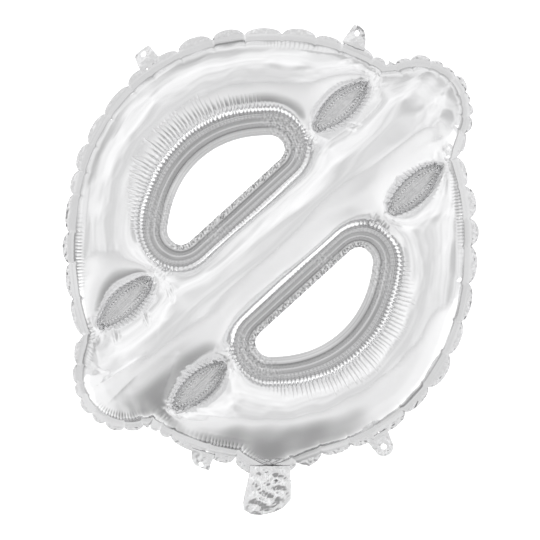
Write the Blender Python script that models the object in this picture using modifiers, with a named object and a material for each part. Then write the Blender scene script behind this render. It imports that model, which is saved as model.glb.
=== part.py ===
# Letter balloon of silver foil: a ring crossed by a slanted bar. Two film panels are heat-sealed
# along the outline, round the two openings and in four lens-shaped islands beside the bar.
# Metres, +Z up. The letter faces -Y, and its seam lies in the plane Y = 0.

from math import atan2, cos, degrees, pi, radians, sin
from random import Random

import bmesh
import bpy
import numpy as np
from mathutils import Matrix, Vector
from mathutils.geometry import delaunay_2d_cdt

# The ring and the bar, measured to the seam line where the two films part
RING_HALF_WIDTH = 0.1615
RING_HALF_HEIGHT = 0.1705
RING_SQUARENESS = 2.2
BAR_TILT = radians(42.3)
BAR_HALF_WIDTH = 0.0385
BAR_REACH_UP = 0.203
BAR_REACH_DOWN = 0.197

# The two half-moon openings, measured to the trimmed film edge
OPENING_HALF_WIDTH = 0.0855
OPENING_HALF_HEIGHT = 0.0915
OPENING_SQUARENESS = 2.25
OPENING_CORNER = 0.0115
OPENING_TO_BAR_AXIS = 0.0474
OPENING_SEAL_AT_RING = 0.0172
OPENING_SEAL_AT_BAR = 0.0142

# The lens-shaped seals that part the bar from the ring
LENS_ALONG_BAR = 0.1205
LENS_OFF_AXIS = 0.0460
LENS_HALF_LENGTH = 0.026
LENS_HALF_WIDTH = 0.0070
LENS_TIP_RADIUS = 0.0015

# The sealed margin and its scalloped loose edge
SEAL_WIDTH = 0.0095
SEAL_THICKNESS = 0.001
LOBE_RISE = 0.0035
LOBE_PITCH = (0.016, 0.026)
LOBE_STEPS = 5
LOBE_FADE = (0.015, 0.021)

# The filling neck under the ring: the seam opens into it through a funnel
FUNNEL_REACH = 0.182
FUNNEL_FLARE = 1.1
NECK_HALF_WIDTH = 0.0185
NECK_TOP = 0.160
NECK_REACH = 0.2215
NECK_SQUARENESS = 5.0
NECK_CHANNEL = 0.0115
NECK_BULGE = 0.003
NECK_GRID = 10
VALVE_REACH = 0.216
VALVE_THICKNESS = 0.0006

# The hanging tabs, each at its bearing round the centre, tipped about its foot
TAB_BEARINGS = {"upper_left": 123.5, "upper_right": 67.5, "lower_left": 252.0, "lower_right": 299.5}
TAB_TIPS = {"upper_left": 28.0, "upper_right": -22.0, "lower_left": -20.0, "lower_right": 14.0}
TAB_HALF_FOOT = 0.0098
TAB_RADIUS = 0.0082
TAB_HEIGHT = 0.0185
TAB_HOLE_RADIUS = 0.0024
TAB_HOLE_RISE = 0.001
TAB_THICKNESS = 0.0009
TAB_HEAD_STEPS = 17
TAB_HOLE_STEPS = 16

# The films, and the spacing of their points
FILM = 0.0008
RIM_RISE = 0.0004
GAP = 0.0003
PANEL_SPACING = 0.0105
SEAM_SPACING = 0.0085
LENS_SPACING = 0.0065
EDGE_ROWS = (0.0018, 0.0065)
LEAST_SPACING = 0.0038

BAR_DIRECTION = np.array([cos(BAR_TILT), sin(BAR_TILT)])
BAR_NORMAL = np.array([-sin(BAR_TILT), cos(BAR_TILT)])
OPENINGS = {"upper": 1, "lower": -1}
LENSES = {
    "upper_right_above": (1, 1),
    "upper_right_below": (1, -1),
    "lower_left_above": (-1, 1),
    "lower_left_below": (-1, -1),
}


# Plan shapes lie in the seam plane, as points (x, z)


def in_ring(points, grow):
    x = np.abs(points[:, 0]) / (RING_HALF_WIDTH + grow)
    z = np.abs(points[:, 1]) / (RING_HALF_HEIGHT + grow)
    return x**RING_SQUARENESS + z**RING_SQUARENESS < 1


def in_bar(points, grow):
    along = points @ BAR_DIRECTION
    across = points @ BAR_NORMAL
    core = np.clip(along, BAR_HALF_WIDTH - BAR_REACH_DOWN, BAR_REACH_UP - BAR_HALF_WIDTH)
    return np.hypot(along - core, across) < BAR_HALF_WIDTH + grow


def in_funnel(points, grow):
    rise = points[:, 1] + FUNNEL_REACH
    under_ring = (rise > -grow) & (rise < FUNNEL_REACH - NECK_TOP)
    return under_ring & (np.abs(points[:, 0]) < NECK_CHANNEL + rise * FUNNEL_FLARE + grow)


def in_neck(points):
    half_height = (NECK_REACH - NECK_TOP) / 2
    x = np.abs(points[:, 0]) / NECK_HALF_WIDTH
    z = np.abs(points[:, 1] + NECK_TOP + half_height) / half_height
    return x**NECK_SQUARENESS + z**NECK_SQUARENESS < 1


def star_loop(inside, count=1800, reach=0.26):
    """Outline of a shape that every ray from the centre leaves once."""
    angles = np.linspace(0, 2 * pi, count, endpoint=False)
    rays = np.column_stack([np.cos(angles), np.sin(angles)])
    near, far = np.zeros(count), np.full(count, reach)
    for _ in range(30):
        middle = (near + far) / 2
        held = inside(rays * middle[:, None])
        near, far = np.where(held, middle, near), np.where(held, far, middle)
    return rays * near[:, None]


def seam_loop(grow):
    return star_loop(lambda p: in_ring(p, grow) | in_bar(p, grow) | in_funnel(p, grow))


def margin_loop():
    return star_loop(lambda p: in_ring(p, SEAL_WIDTH) | in_bar(p, SEAL_WIDTH) | in_neck(p))


def grown(core, distance, count=360):
    """Outline round a convex core, at a distance that may follow the outward direction."""
    angles = np.linspace(0, 2 * pi, count, endpoint=False)
    outward = np.column_stack([np.cos(angles), np.sin(angles)])
    tops = core[np.argmax(outward @ core.T, axis=1)]
    return tops + outward * distance(outward)[:, None]


def opening_loop(side, sealed, grow=0.0):
    """Edge of a half-moon opening, or of the seal round it; side is 1 above the bar."""
    angles = np.linspace(0, 2 * pi, 720, endpoint=False)
    width = OPENING_HALF_WIDTH - OPENING_CORNER
    height = OPENING_HALF_HEIGHT - OPENING_CORNER
    bend = 2 / OPENING_SQUARENESS
    x = width * np.sign(np.cos(angles)) * np.abs(np.cos(angles)) ** bend
    z = height * np.sign(np.sin(angles)) * np.abs(np.sin(angles)) ** bend
    oval = np.column_stack([x, z])
    core = oval[side * (oval @ BAR_NORMAL) > OPENING_TO_BAR_AXIS + OPENING_CORNER]

    def distance(outward):
        facing_bar = np.clip(-side * (outward @ BAR_NORMAL), 0, 1) ** 2
        narrowing = (OPENING_SEAL_AT_BAR - OPENING_SEAL_AT_RING) * facing_bar
        return OPENING_CORNER + grow + sealed * (OPENING_SEAL_AT_RING + narrowing)

    return grown(core, distance)


def lens_loop(end, side, grow=0.0):
    """Outline of a lens-shaped seal at one end of the bar, on one side of it."""
    turn = np.linspace(-1, 1, 25)
    bow = (LENS_HALF_WIDTH - LENS_TIP_RADIUS) * (1 - turn**2)
    sweep = turn * (LENS_HALF_LENGTH - LENS_TIP_RADIUS)
    along = end * LENS_ALONG_BAR + np.concatenate([sweep, sweep])
    across = side * LENS_OFF_AXIS + np.concatenate([bow, -bow])
    core = along[:, None] * BAR_DIRECTION + across[:, None] * BAR_NORMAL
    return grown(core, lambda outward: np.full(len(outward), LENS_TIP_RADIUS + grow))


def measured(loop):
    """A closed loop, and the length along it at each of its points."""
    closed = np.vstack([loop, loop[:1]])
    return closed, np.concatenate([[0], np.cumsum(np.hypot(*np.diff(closed, axis=0).T))])


def points_at(loop, places):
    closed, lengths = measured(loop)
    places = np.mod(places, lengths[-1])
    return np.column_stack([np.interp(places, lengths, closed[:, i]) for i in (0, 1)])


def even(loop, spacing):
    total = measured(loop)[1][-1]
    count = max(8, round(total / spacing))
    return points_at(loop, np.arange(count) * total / count)


def outward_at(loop, place, reach=0.004):
    """Unit vector out of a loop that runs anticlockwise."""
    ahead, behind = points_at(loop, place + np.array([reach, -reach]))
    outward = np.array([ahead[1] - behind[1], behind[0] - ahead[0]])
    return outward / np.linalg.norm(outward)


def moved(loop, distance):
    """The loop with each of its edges moved outwards by the same distance."""
    edges = np.roll(loop, -1, axis=0) - loop
    ahead = np.column_stack([edges[:, 1], -edges[:, 0]]) / np.hypot(*edges.T)[:, None]
    behind = np.roll(ahead, 1, axis=0)
    bend = 1 + np.sum(ahead * behind, axis=1)
    return loop + (ahead + behind) * (distance / bend)[:, None]


def seam_lines():
    """The seams by name: the outline, the edges of the opening seals and the lenses."""
    lines = {"outline": even(seam_loop(0), SEAM_SPACING)}
    lines |= {name: even(opening_loop(side, 1), SEAM_SPACING) for name, side in OPENINGS.items()}
    lines |= {name: even(lens_loop(*place), LENS_SPACING) for name, place in LENSES.items()}
    return lines


def tab_places(loop):
    """Length along the margin at the foot of each tab."""
    bearings = np.degrees(np.arctan2(loop[:, 1], loop[:, 0])) % 360
    lengths = measured(loop)[1]
    return {name: lengths[np.argmin(np.abs(bearings - b))] for name, b in TAB_BEARINGS.items()}


def scalloped_loop():
    """Loose edge of the margin: lobes between creases, which fade out at the tabs and the neck."""
    base = margin_loop()
    total = measured(base)[1][-1]
    calm = [*points_at(base, np.array(list(tab_places(base).values()))), (0, -NECK_REACH)]
    calm = [*calm, (NECK_HALF_WIDTH, -FUNNEL_REACH), (-NECK_HALF_WIDTH, -FUNNEL_REACH)]
    chance = Random(7)
    creases = [0.0]
    while creases[-1] < total - LOBE_PITCH[1]:
        creases.append(creases[-1] + chance.uniform(*LOBE_PITCH))
    creases.append(total)
    points = []
    for start, end in zip(creases, creases[1:]):
        rise = LOBE_RISE * chance.uniform(0.55, 1)
        for step in range(LOBE_STEPS):
            place = start + (end - start) * step / LOBE_STEPS
            point = points_at(base, np.array([place]))[0]
            room = min(np.hypot(*(point - spot)) for spot in calm)
            fade = min(max((room - LOBE_FADE[0]) / (LOBE_FADE[1] - LOBE_FADE[0]), 0), 1)
            lift = rise * fade * sin(pi * step / LOBE_STEPS) ** 0.7
            points.append(point + outward_at(base, place) * lift)
    return np.array(points)


# Objects


def collection(name):
    made = bpy.data.collections.new(name)
    bpy.context.scene.collection.children.link(made)
    return made


def material(name, colour, metallic, roughness):
    made = bpy.data.materials.new(name)
    made.use_nodes = True
    shader = made.node_tree.nodes["Principled BSDF"]
    shader.inputs["Base Color"].default_value = (*colour, 1)
    shader.inputs["Metallic"].default_value = metallic
    shader.inputs["Roughness"].default_value = roughness
    return made


def add(name, mesh, finish, home):
    thing = bpy.data.objects.new(name, mesh)
    home.objects.link(thing)
    mesh.materials.clear()
    mesh.materials.append(finish)
    return thing


def settled(thing, finish, home):
    """The object as a plain mesh: curve or modifiers applied, caps joined, faces outwards."""
    bpy.context.view_layer.update()
    seen = thing.evaluated_get(bpy.context.evaluated_depsgraph_get())
    mesh = bpy.data.meshes.new_from_object(seen)
    name, place = thing.name, thing.matrix_world.copy()
    bpy.data.objects.remove(thing)
    made = add(name, mesh, finish, home)
    made.name = name
    made.matrix_world = place
    work = bmesh.new()
    work.from_mesh(mesh)
    bmesh.ops.remove_doubles(work, verts=work.verts, dist=0.00002)
    bmesh.ops.recalc_face_normals(work, faces=work.faces)
    work.to_mesh(mesh)
    work.free()
    return made


def plate(name, loops, thickness, finish, home):
    """Flat film cut to its loops, standing in the seam plane."""
    curve = bpy.data.curves.new(name, "CURVE")
    curve.dimensions = "2D"
    curve.fill_mode = "BOTH"
    curve.extrude = thickness / 2
    for loop in loops:
        spline = curve.splines.new("POLY")
        spline.points.add(len(loop) - 1)
        for point, (x, z) in zip(spline.points, loop):
            point.co = (x, z, 0, 1)
        spline.use_cyclic_u = True
    thing = bpy.data.objects.new(name, curve)
    home.objects.link(thing)
    thing.matrix_world = Matrix.Rotation(pi / 2, 4, "X")
    return settled(thing, finish, home)


def in_loop(points, loop):
    x, z = points[:, :1], points[:, 1:]
    ax, az = loop[:, 0], loop[:, 1]
    bx, bz = np.roll(ax, -1), np.roll(az, -1)
    level = np.where(az == bz, 1, bz - az)
    crosses = ((az > z) != (bz > z)) & (x < (bx - ax) * (z - az) / level + ax)
    return crosses.sum(axis=1) % 2 == 1


def on_panel(points, edges):
    holes = np.any([in_loop(points, edge) for edge in edges[1:]], axis=0)
    return in_loop(points, edges[0]) & ~holes


def seam_room(points, edges):
    """Distance of each point to the nearest seam, or -1 off the panel."""
    seams = np.vstack([even(edge, 0.002) for edge in edges])
    room = np.array([np.hypot(*(seams - point).T).min() for point in points])
    return np.where(on_panel(points, edges), room, -1)


def spread(points, least):
    """The points, without each that lies too near an earlier one."""
    kept = points[:1]
    for point in points[1:]:
        if np.hypot(*(kept - point).T).min() > least:
            kept = np.vstack([kept, point])
    return kept


def edge_row(inset, seam_spacing):
    """Points at a distance inside the panel from each of its seams."""
    loops = [even(seam_loop(-inset), seam_spacing)]
    loops += [even(opening_loop(side, 1, inset), seam_spacing) for side in OPENINGS.values()]
    loops += [even(lens_loop(*place, inset), LENS_SPACING) for place in LENSES.values()]
    return np.vstack(loops)


def panel_plan(lines):
    """One film panel laid flat: its points, its triangles and its number of seam points."""
    edges = [moved(line, -GAP if name == "outline" else GAP) for name, line in lines.items()]
    rows = [edge_row(EDGE_ROWS[0], SEAM_SPACING), edge_row(EDGE_ROWS[1], PANEL_SPACING)]
    rows = np.vstack(rows)
    rows = spread(rows[seam_room(rows, edges) > 0.8 * EDGE_ROWS[0]], LEAST_SPACING)
    across = np.arange(-BAR_REACH_UP, BAR_REACH_UP, PANEL_SPACING)
    grid_x, grid_z = np.meshgrid(across, across * sin(pi / 3))
    grid_x[1::2] += PANEL_SPACING / 2
    filling = np.column_stack([grid_x.ravel(), grid_z.ravel()])
    filling = filling[seam_room(filling, edges) > EDGE_ROWS[1] + PANEL_SPACING / 2]
    ties, start = [], 0
    for edge in edges:
        ties += [(start + i, start + (i + 1) % len(edge)) for i in range(len(edge))]
        start += len(edge)
    points = np.vstack([*edges, rows, filling])
    laid = delaunay_2d_cdt([Vector(point) for point in points], ties, [], 0, 1e-7)
    points = np.array([tuple(point) for point in laid[0]])
    faces = np.array(laid[2])
    return points, faces[on_panel(points[faces].mean(axis=1), edges)], start


def blown_height(points, faces, seam_count):
    """Height of the blown film: a membrane pressed from behind and held along its seams.

    A long strip rises to a round tube, and a wide end to a dome."""
    count = len(points)
    stiffness, load = np.zeros((count, count)), np.zeros(count)
    for turn in range(3):
        a, b, c = (points[faces[:, (turn + k) % 3]] for k in range(3))
        twice_area = np.abs((b - a)[:, 0] * (c - a)[:, 1] - (b - a)[:, 1] * (c - a)[:, 0])
        pull = np.sum((b - a) * (c - a), axis=1) / twice_area / 2
        i, j = faces[:, (turn + 1) % 3], faces[:, (turn + 2) % 3]
        for row, column, amount in ((i, i, pull), (j, j, pull), (i, j, -pull), (j, i, -pull)):
            np.add.at(stiffness, (row, column), amount)
        np.add.at(load, faces[:, turn], twice_area / 3)
    free = np.arange(seam_count, count)
    height = np.zeros(count)
    squares = np.linalg.solve(stiffness[np.ix_(free, free)], load[free])
    height[free] = np.sqrt(np.maximum(squares, 0))
    return height


def panel(name, side, plan, heights, finish, home):
    """One blown film: side is -1 for the front and 1 for the back."""
    points, faces, _ = plan
    corners = [(x, side * (RIM_RISE + rise), z) for (x, z), rise in zip(points, heights)]
    mesh = bpy.data.meshes.new(name)
    mesh.from_pydata(corners, [], [face if side < 0 else face[::-1] for face in faces.tolist()])
    thing = add(name, mesh, finish, home)
    shell = thing.modifiers.new("film", "SOLIDIFY")
    shell.thickness = FILM
    shell.offset = -1
    thing = settled(thing, finish, home)
    for corner in thing.data.vertices:
        corner.co.y = side * max(side * corner.co.y, GAP / 2)
    thing.data.shade_smooth()
    return thing


def neck_film(name, side, finish, home):
    """One film of the neck, standing off the valve film between the neck's side seals."""
    bpy.ops.mesh.primitive_grid_add(x_subdivisions=NECK_GRID, y_subdivisions=NECK_GRID, size=2)
    thing = bpy.context.object
    thing.name = name
    for corner in thing.data.vertices:
        share, drop = corner.co.x, (1 - corner.co.y) / 2
        rise = NECK_BULGE * cos(share * pi / 2) * sin(pi * (0.08 + 0.72 * drop))
        mouth = NECK_REACH - 0.001 - 0.003 * share**2
        z = -FUNNEL_REACH - (mouth - FUNNEL_REACH) * drop
        corner.co = (share * NECK_CHANNEL, side * (VALVE_THICKNESS / 2 + GAP + rise), z)
    shell = thing.modifiers.new("film", "SOLIDIFY")
    shell.thickness = FILM
    shell.offset = -side
    made = settled(thing, finish, home)
    made.data.shade_smooth()
    return made


def valve_film(finish, home):
    half = NECK_CHANNEL - GAP
    corners = [(-half, -VALVE_REACH), (half, -VALVE_REACH), (half, -FUNNEL_REACH), (-half, -FUNNEL_REACH)]
    return plate("valve_film", [corners], VALVE_THICKNESS, finish, home)


def outer_margin(outline, finish, cutting, home, cutters):
    """Sealed margin round the whole outline, slotted where the neck's channel runs out."""
    margin = plate("outer_margin", [scalloped_loop(), outline], SEAL_THICKNESS, finish, home)
    bpy.ops.mesh.primitive_cube_add(size=1)
    cutter = bpy.context.object
    cutter.name = "neck_channel_cutter"
    for held in cutter.users_collection:
        held.objects.unlink(cutter)
    cutters.objects.link(cutter)
    cutter.data.materials.append(cutting)
    top, bottom = FUNNEL_REACH - 0.004, NECK_REACH + 0.01
    size = (2 * (NECK_CHANNEL + GAP), 0.01, bottom - top)
    cutter.data.transform(Matrix.Diagonal((*size, 1)))
    cutter.location = (0, 0, -(top + bottom) / 2)
    cutter.hide_render = True
    cutter.display_type = "WIRE"
    slot = margin.modifiers.new("neck channel", "BOOLEAN")
    slot.operation = "DIFFERENCE"
    slot.object = cutter
    return margin


def tab(name, finish, home):
    """Hanging tab with its punched hole, standing on the margin's edge."""
    sweep = np.linspace(-0.1 * pi, 1.1 * pi, TAB_HEAD_STEPS)
    centre = TAB_HEIGHT - TAB_RADIUS
    head = np.column_stack([np.cos(sweep), np.sin(sweep)]) * TAB_RADIUS + (0, centre)
    outline = np.vstack([[(TAB_HALF_FOOT, 0)], head, [(-TAB_HALF_FOOT, 0)]])
    turn = np.linspace(0, 2 * pi, TAB_HOLE_STEPS, endpoint=False)
    hole = np.column_stack([np.cos(turn), np.sin(turn)]) * TAB_HOLE_RADIUS
    hole += (0, centre + TAB_HOLE_RISE)
    thing = plate("hanging_tab_" + name, [outline, hole], TAB_THICKNESS, finish, home)
    edge = margin_loop()
    place = tab_places(edge)[name]
    foot = points_at(edge, np.array([place]))[0]
    outward = outward_at(edge, place)
    lean = Matrix.Rotation(radians(TAB_TIPS[name]), 4, "X")
    lift = Matrix.Translation((0, 0, 2 * GAP))
    upright = Matrix.Rotation(pi / 2 - atan2(outward[1], outward[0]), 4, "Y")
    stand = Matrix.Translation((foot[0], 0, foot[1])) @ upright @ lift @ lean
    thing.matrix_world = stand @ Matrix.Rotation(pi / 2, 4, "X")
    return thing


def main():
    for old in list(bpy.context.scene.objects):
        bpy.data.objects.remove(old, do_unlink=True)
    home = collection("letter_balloon")
    cutters = collection("cutters")
    silver = (0.88, 0.885, 0.89)
    lines = seam_lines()
    plan = panel_plan(lines)
    heights = blown_height(*plan)
    for name, side in (("front_panel", -1), ("back_panel", 1)):
        panel(name, side, plan, heights, material(name, silver, 1.0, 0.14), home)
    cutting = material("cutter", (0.8, 0.2, 0.1), 0.0, 0.5)
    margin = material("outer_margin", silver, 1.0, 0.2)
    outer_margin(lines["outline"], margin, cutting, home, cutters)
    for name, side in OPENINGS.items():
        node = name + "_opening_edge"
        loops = [lines[name], even(opening_loop(side, 0), LENS_SPACING)]
        plate(node, loops, SEAL_THICKNESS, material(node, silver, 1.0, 0.2), home)
    for name in LENSES:
        node = "lens_seal_" + name
        seal = material(node, (0.72, 0.725, 0.73), 1.0, 0.25)
        plate(node, [lines[name]], SEAL_THICKNESS, seal, home)
    for name, side in (("neck_front_film", -1), ("neck_back_film", 1)):
        neck_film(name, side, material(name, silver, 1.0, 0.2), home)
    valve_film(material("valve_film", (0.8, 0.82, 0.83), 0.0, 0.3), home)
    for name in TAB_BEARINGS:
        node = "hanging_tab_" + name
        tab(name, material(node, silver, 1.0, 0.2), home)


main()
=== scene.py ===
# Silver foil letter balloon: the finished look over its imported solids, in metres
from math import asin, atan2, ceil, cos, degrees, exp, hypot, pi, radians, sin, tau
from random import Random

import bmesh
import bpy
import numpy as np
from mathutils import Matrix, Vector, noise
from mathutils.geometry import delaunay_2d_cdt
from mathutils.kdtree import KDTree


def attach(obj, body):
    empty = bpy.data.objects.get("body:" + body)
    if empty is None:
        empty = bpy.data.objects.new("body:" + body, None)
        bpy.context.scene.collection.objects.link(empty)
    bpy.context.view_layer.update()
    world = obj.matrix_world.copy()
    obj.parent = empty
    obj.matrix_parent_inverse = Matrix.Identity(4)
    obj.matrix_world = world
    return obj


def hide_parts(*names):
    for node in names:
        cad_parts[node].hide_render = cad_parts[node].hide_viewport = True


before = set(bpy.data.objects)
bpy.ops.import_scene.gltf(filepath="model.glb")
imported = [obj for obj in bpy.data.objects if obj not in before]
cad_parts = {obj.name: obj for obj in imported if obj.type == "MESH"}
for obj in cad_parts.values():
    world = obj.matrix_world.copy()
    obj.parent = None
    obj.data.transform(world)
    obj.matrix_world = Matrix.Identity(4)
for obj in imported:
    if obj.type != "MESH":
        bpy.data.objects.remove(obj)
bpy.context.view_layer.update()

mm = 0.001
letter = {
    "ringHalfWidth": 0.1615, "ringHalfHeight": 0.1705, "ringSquareness": 2.2,
    "barTilt": radians(42.3), "barHalfWidth": 0.0385, "barReachUp": 0.203, "barReachDown": 0.197,
    "openHalfWidth": 0.0855, "openHalfHeight": 0.0915, "openSquareness": 2.25, "openCorner": 0.0115,
    "openToBarAxis": 0.0474, "sealAtRing": 0.0172, "sealAtBar": 0.0142,
    "lensAlong": 0.1205, "lensAcross": 0.046, "lensHalfLength": 0.026, "lensHalfWidth": 0.007,
    "lensTip": 0.0015, "funnelReach": 0.182, "funnelFlare": 1.1, "funnelTop": 0.160,
    "neckChannel": 0.0115,
}
barWay = np.array([cos(letter["barTilt"]), sin(letter["barTilt"])])
barSide = np.array([-sin(letter["barTilt"]), cos(letter["barTilt"])])
coarse = 1.0


# Outlines in the seam plane, as points (x, z)


def inRing(points):
    x = np.abs(points[:, 0]) / letter["ringHalfWidth"]
    z = np.abs(points[:, 1]) / letter["ringHalfHeight"]
    return x ** letter["ringSquareness"] + z ** letter["ringSquareness"] < 1


def inBar(points):
    half = letter["barHalfWidth"]
    along, across = points @ barWay, points @ barSide
    core = np.clip(along, half - letter["barReachDown"], letter["barReachUp"] - half)
    return np.hypot(along - core, across) < half


def inFunnel(points):
    rise = points[:, 1] + letter["funnelReach"]
    low = (rise > 0) & (rise < letter["funnelReach"] - letter["funnelTop"])
    return low & (np.abs(points[:, 0]) < letter["neckChannel"] + rise * letter["funnelFlare"])


def outlineLoop():
    angles = np.linspace(0, tau, 2400, endpoint=False)
    rays = np.column_stack([np.cos(angles), np.sin(angles)])
    near, far = np.zeros(len(rays)), np.full(len(rays), 0.26)
    for _ in range(26):
        middle = (near + far) / 2
        spots = rays * middle[:, None]
        held = inRing(spots) | inBar(spots) | inFunnel(spots)
        near, far = np.where(held, middle, near), np.where(held, far, middle)
    return rays * near[:, None]


def grown(core, distance, count=720):
    angles = np.linspace(0, tau, count, endpoint=False)
    outward = np.column_stack([np.cos(angles), np.sin(angles)])
    return core[np.argmax(outward @ core.T, axis=1)] + outward * distance(outward)[:, None]


def openingLoop(side, sealed):
    angles = np.linspace(0, tau, 1440, endpoint=False)
    bend = 2 / letter["openSquareness"]
    corner = letter["openCorner"]
    c, s = np.cos(angles), np.sin(angles)
    x = (letter["openHalfWidth"] - corner) * np.sign(c) * np.abs(c) ** bend
    z = (letter["openHalfHeight"] - corner) * np.sign(s) * np.abs(s) ** bend
    oval = np.column_stack([x, z])
    core = oval[side * (oval @ barSide) > letter["openToBarAxis"] + corner]

    def distance(outward):
        towardBar = np.clip(-side * (outward @ barSide), 0, 1) ** 2
        seal = letter["sealAtRing"] + (letter["sealAtBar"] - letter["sealAtRing"]) * towardBar
        return corner + sealed * seal

    return grown(core, distance)


def lensLoop(end, side):
    turn = np.linspace(-1, 1, 49)
    tip = letter["lensTip"]
    bow = (letter["lensHalfWidth"] - tip) * (1 - turn ** 2)
    sweep = turn * (letter["lensHalfLength"] - tip)
    along = end * letter["lensAlong"] + np.concatenate([sweep, sweep])
    across = side * letter["lensAcross"] + np.concatenate([bow, -bow])
    core = along[:, None] * barWay + across[:, None] * barSide
    return grown(core, lambda outward: np.full(len(outward), tip))


# A seam is a closed loop with places along it in metres; inward points into the film


def measured(loop):
    closed = np.vstack([loop, loop[:1]])
    return closed, np.concatenate([[0], np.cumsum(np.hypot(*np.diff(closed, axis=0).T))])


def evenLoop(loop, count):
    closed, lengths = measured(loop)
    places = np.arange(count) * lengths[-1] / count
    return np.column_stack([np.interp(places, lengths, closed[:, i]) for i in (0, 1)])


def softened(values, reach):
    # circular smoothing of a closed row of values by a bell that is reach entries wide
    count = len(values)
    bell = np.exp(-0.5 * (np.minimum(np.arange(count), count - np.arange(count)) / max(reach, 0.01)) ** 2)
    bell = np.fft.rfft(bell / bell.sum())
    smooth = [np.fft.irfft(np.fft.rfft(column) * bell, count) for column in np.atleast_2d(values.T)]
    return np.array(smooth).T.reshape(values.shape)


def foldEdges(total, pitchAt, chance):
    # uneven places along a seam where its folds begin and end
    edges = [0.0]
    while edges[-1] < total:
        edges.append(edges[-1] + pitchAt(edges[-1]) * chance.uniform(0.75, 1.25))
    return np.array(edges) * total / edges[-1]


tuckShares = [0, 0.13, 0.3, 0.5, 0.7, 0.87]  # columns of one fold, close together at its sharp edges


def seam(name, loop, side, rounding, pitchAt, columnAt, seed, straight=0.0, tucked=False):
    # columns stand on the seam so that every fold begins on one; the normal points into the film
    fine = 0.5 * mm
    count = ceil(measured(loop)[1][-1] / fine)
    points = softened(evenLoop(loop, count), rounding / fine)
    tangent = np.roll(points, -1, axis=0) - np.roll(points, 1, axis=0)
    normal = np.column_stack([tangent[:, 1], -tangent[:, 0]])
    normal = softened(normal / np.hypot(*normal.T)[:, None], 1.5 * rounding / fine)
    normal *= side / np.hypot(*normal.T)[:, None]
    closed, lengths = measured(points)
    wrapped = np.vstack([normal, normal[:1]])
    chance = Random(seed)

    def at(places):
        spots = np.column_stack([np.interp(places, lengths, closed[:, i]) for i in (0, 1)])
        ways = np.column_stack([np.interp(places, lengths, wrapped[:, i]) for i in (0, 1)])
        return spots, ways / np.hypot(*ways.T)[:, None]

    edges = foldEdges(lengths[-1], lambda place: pitchAt(at(np.array([place]))[0][0]), chance)
    places, folds, shares = [], [], []
    for i, (start, end) in enumerate(zip(edges, edges[1:])):
        steps = max(3, round((end - start) / columnAt(at(np.array([start]))[0][0])))
        shape = tuckShares if tucked and steps > 4 else [k / steps for k in range(steps)]
        places += [start + (end - start) * k for k in shape]
        folds += [i] * len(shape)
        shares += shape
    spots, ways = at(np.array(places))
    folds, shares = np.array(folds), np.array(shares)
    if straight:
        ends = at(edges)[0]
        chord = ends[folds] + (ends[folds + 1] - ends[folds]) * shares[:, None]
        spots += straight * (chord - spots)
        gap = np.minimum(shares, 1 - shares) * np.diff(edges)[folds]
        spots += ways * (outlineLook["notch"] * np.exp(-gap / (1.5 * mm)))[:, None]
    traits = np.array([[chance.random() for _ in range(4)] for _ in edges[1:]])
    return {"name": name, "points": spots, "normal": ways, "total": lengths[-1], "count": len(spots),
            "places": np.array(places), "step": lengths[-1] / len(spots), "fold": folds,
            "share": shares, "traits": traits, "edges": edges, "pitch": np.diff(edges)[folds]}


def bearingOf(points):
    return np.degrees(np.arctan2(points[..., 1], points[..., 0])) % 360


def bell(values, middle, spread):
    return np.exp(-0.5 * ((values - middle) / spread) ** 2)


outlineLook = {
    "ringPitch": 26 * mm, "barPitch": 12 * mm, "column": 1.0 * mm, "combColumn": 0.7 * mm,
    "notch": 0.9 * mm,
    "combZones": ((182, 5, 1.0), (10, 6, 0.8), (257, 5, 1.0), (206, 3, 0.4), (228, 3, 1.2), (84, 5, 0.3)),
}
openingLook = {"pitch": 3.1 * mm, "column": 0.52 * mm, "strongAt": (132, 312), "strongSpread": 22}
lensLook = {"pitch": 3.3 * mm, "column": 0.56 * mm, "lean": 0.42}
openingSides = {"upper": 1, "lower": -1}
lensEnds = {"upperRightAbove": (1, 1), "upperRightBelow": (1, -1), "lowerLeftAbove": (-1, 1),
            "lowerLeftBelow": (-1, -1)}


def combZone(spots):
    bearings = bearingOf(spots)
    return np.clip(sum(g * bell((bearings - m + 180) % 360, 180, w) for m, w, g in outlineLook["combZones"]), 0, 1)


def atBarEnd(spots):
    return np.abs(spots @ barWay) > 0.163


def outlinePitch(spot):
    return outlineLook["barPitch" if atBarEnd(spot) else "ringPitch"]


def outlineColumn(spot):
    return coarse * outlineLook["combColumn" if combZone(spot) > 0.15 else "column"]


print("laying out the seams")
outline = seam("outline", outlineLoop(), -1, 2.0 * mm, outlinePitch, outlineColumn, 3, 0.85)
openings = {}
for name, side in openingSides.items():
    openings[name] = seam(name, openingLoop(side, 1), 1, 0.8 * mm, lambda spot: openingLook["pitch"],
                          lambda spot: openingLook["column"] * coarse, 11 + side, tucked=True)
lenses = {}
for name, (end, side) in lensEnds.items():
    lenses[name] = seam(name, lensLoop(end, side), 1, 0.5 * mm, lambda spot: lensLook["pitch"],
                        lambda spot: lensLook["column"] * coarse, 21 + 2 * end + side, tucked=True)
allSeams = [outline, *openings.values(), *lenses.values()]


# Film: strips of points beside each seam, then an even filling between them
filmLook = {
    "outlineStrip": 9.0 * mm, "openingStrip": 27.0 * mm, "barSideStrip": 9.0 * mm, "lensStrip": 11 * mm,
    "filling": 1.35 * mm, "rise": 0.4 * mm,
}


def clearance(own):
    # distance from each seam point to the nearest other seam
    near = np.full(own["count"], 1.0)
    for other in allSeams:
        if other is not own:
            for i in range(own["count"]):
                near[i] = min(near[i], np.hypot(*(other["points"][::3] - own["points"][i]).T).min())
    return near


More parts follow.
